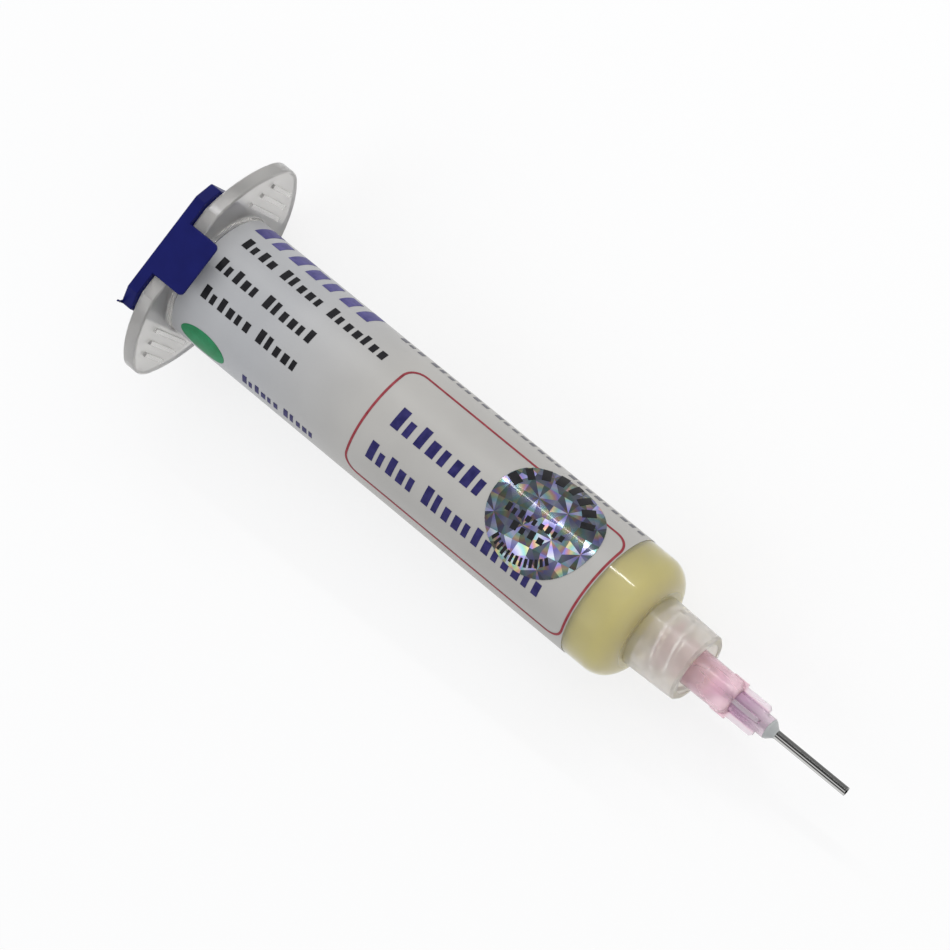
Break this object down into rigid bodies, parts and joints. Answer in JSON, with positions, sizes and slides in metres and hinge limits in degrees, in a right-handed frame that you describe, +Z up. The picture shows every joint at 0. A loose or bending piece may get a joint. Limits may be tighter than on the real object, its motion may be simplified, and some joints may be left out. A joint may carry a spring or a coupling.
{
  "type": "flux syringe",
  "caption": "Dispensing syringe of gel flux lying on its side: clear barrel with label and round seal, piston, clip-on end cap and a screw-on blunt needle.",
  "frame": {"origin": "middle of the bounding box, on the surface that the syringe lies on", "axes": "+X along the syringe towards the needle, 2.7 degrees above the barrel's axis; +Y across the flange ears; +Z up"},
  "size_m": [0.115, 0.034, 0.0251],
  "materials": {
    "barrel_plastic": "natural translucent polypropylene, satin",
    "label_paper": "coated self-adhesive label, satin",
    "ink_red": "printed line",
    "ink_navy": "printed blocks",
    "ink_black": "printed blocks",
    "ink_violet": "printed blocks",
    "ink_green": "printed field",
    "ink_grey": "printed blocks",
    "seal_foil": "diffracting foil sticker",
    "ink_seal": "printed blocks",
    "flux_gel": "cloudy yellow gel",
    "piston_plastic": "natural polyethylene",
    "cap_plastic": "dark blue moulded, satin",
    "hub_plastic": "pink translucent polypropylene",
    "needle_steel": "drawn stainless steel",
    "glue": "milky adhesive"
  },
  "bodies": {
    "barrel": {"barrel": "barrel_plastic", "label": "label_paper", "print_red": "ink_red", "print_navy": "ink_navy", "print_black": "ink_black", "print_violet": "ink_violet", "print_green": "ink_green", "print_grey": "ink_grey", "hologram_seal": "seal_foil", "print_seal": "ink_seal", "flux": "flux_gel"},
    "piston": {"piston": "piston_plastic"},
    "end_cap": {"end_cap": "cap_plastic"},
    "needle": {"needle_tube": "needle_steel", "glue_bead": "glue"},
    "hub": {"needle_hub": "hub_plastic"}
  },
  "joints": [
    {"name": "piston_slide", "type": "slide", "parent": "barrel", "child": "piston", "axis": [0.9989, 0, -0.0465], "range_m": [0, 0.0495], "deforming": ["flux"]},
    {"name": "cap_slide", "type": "slide", "parent": "barrel", "child": "end_cap", "axis": [-0.9989, 0, 0.0465], "range_m": [0, 0.04]},
    {"name": "needle_unscrew", "type": "slide", "parent": "barrel", "child": "needle", "axis": [0.9989, 0, -0.0465], "range_m": [0, 0.01]},
    {"name": "hub_turn", "type": "hinge", "parent": "needle", "child": "hub", "pos_m": [0.03469, 0, 0.00844], "axis": [0.9989, 0, -0.0465], "range_deg": [0, 720.5]}
  ],
  "couplings": [
    {"joint": "hub_turn", "follows": "needle_unscrew", "rad_per_m": 1256.6}
  ]
}
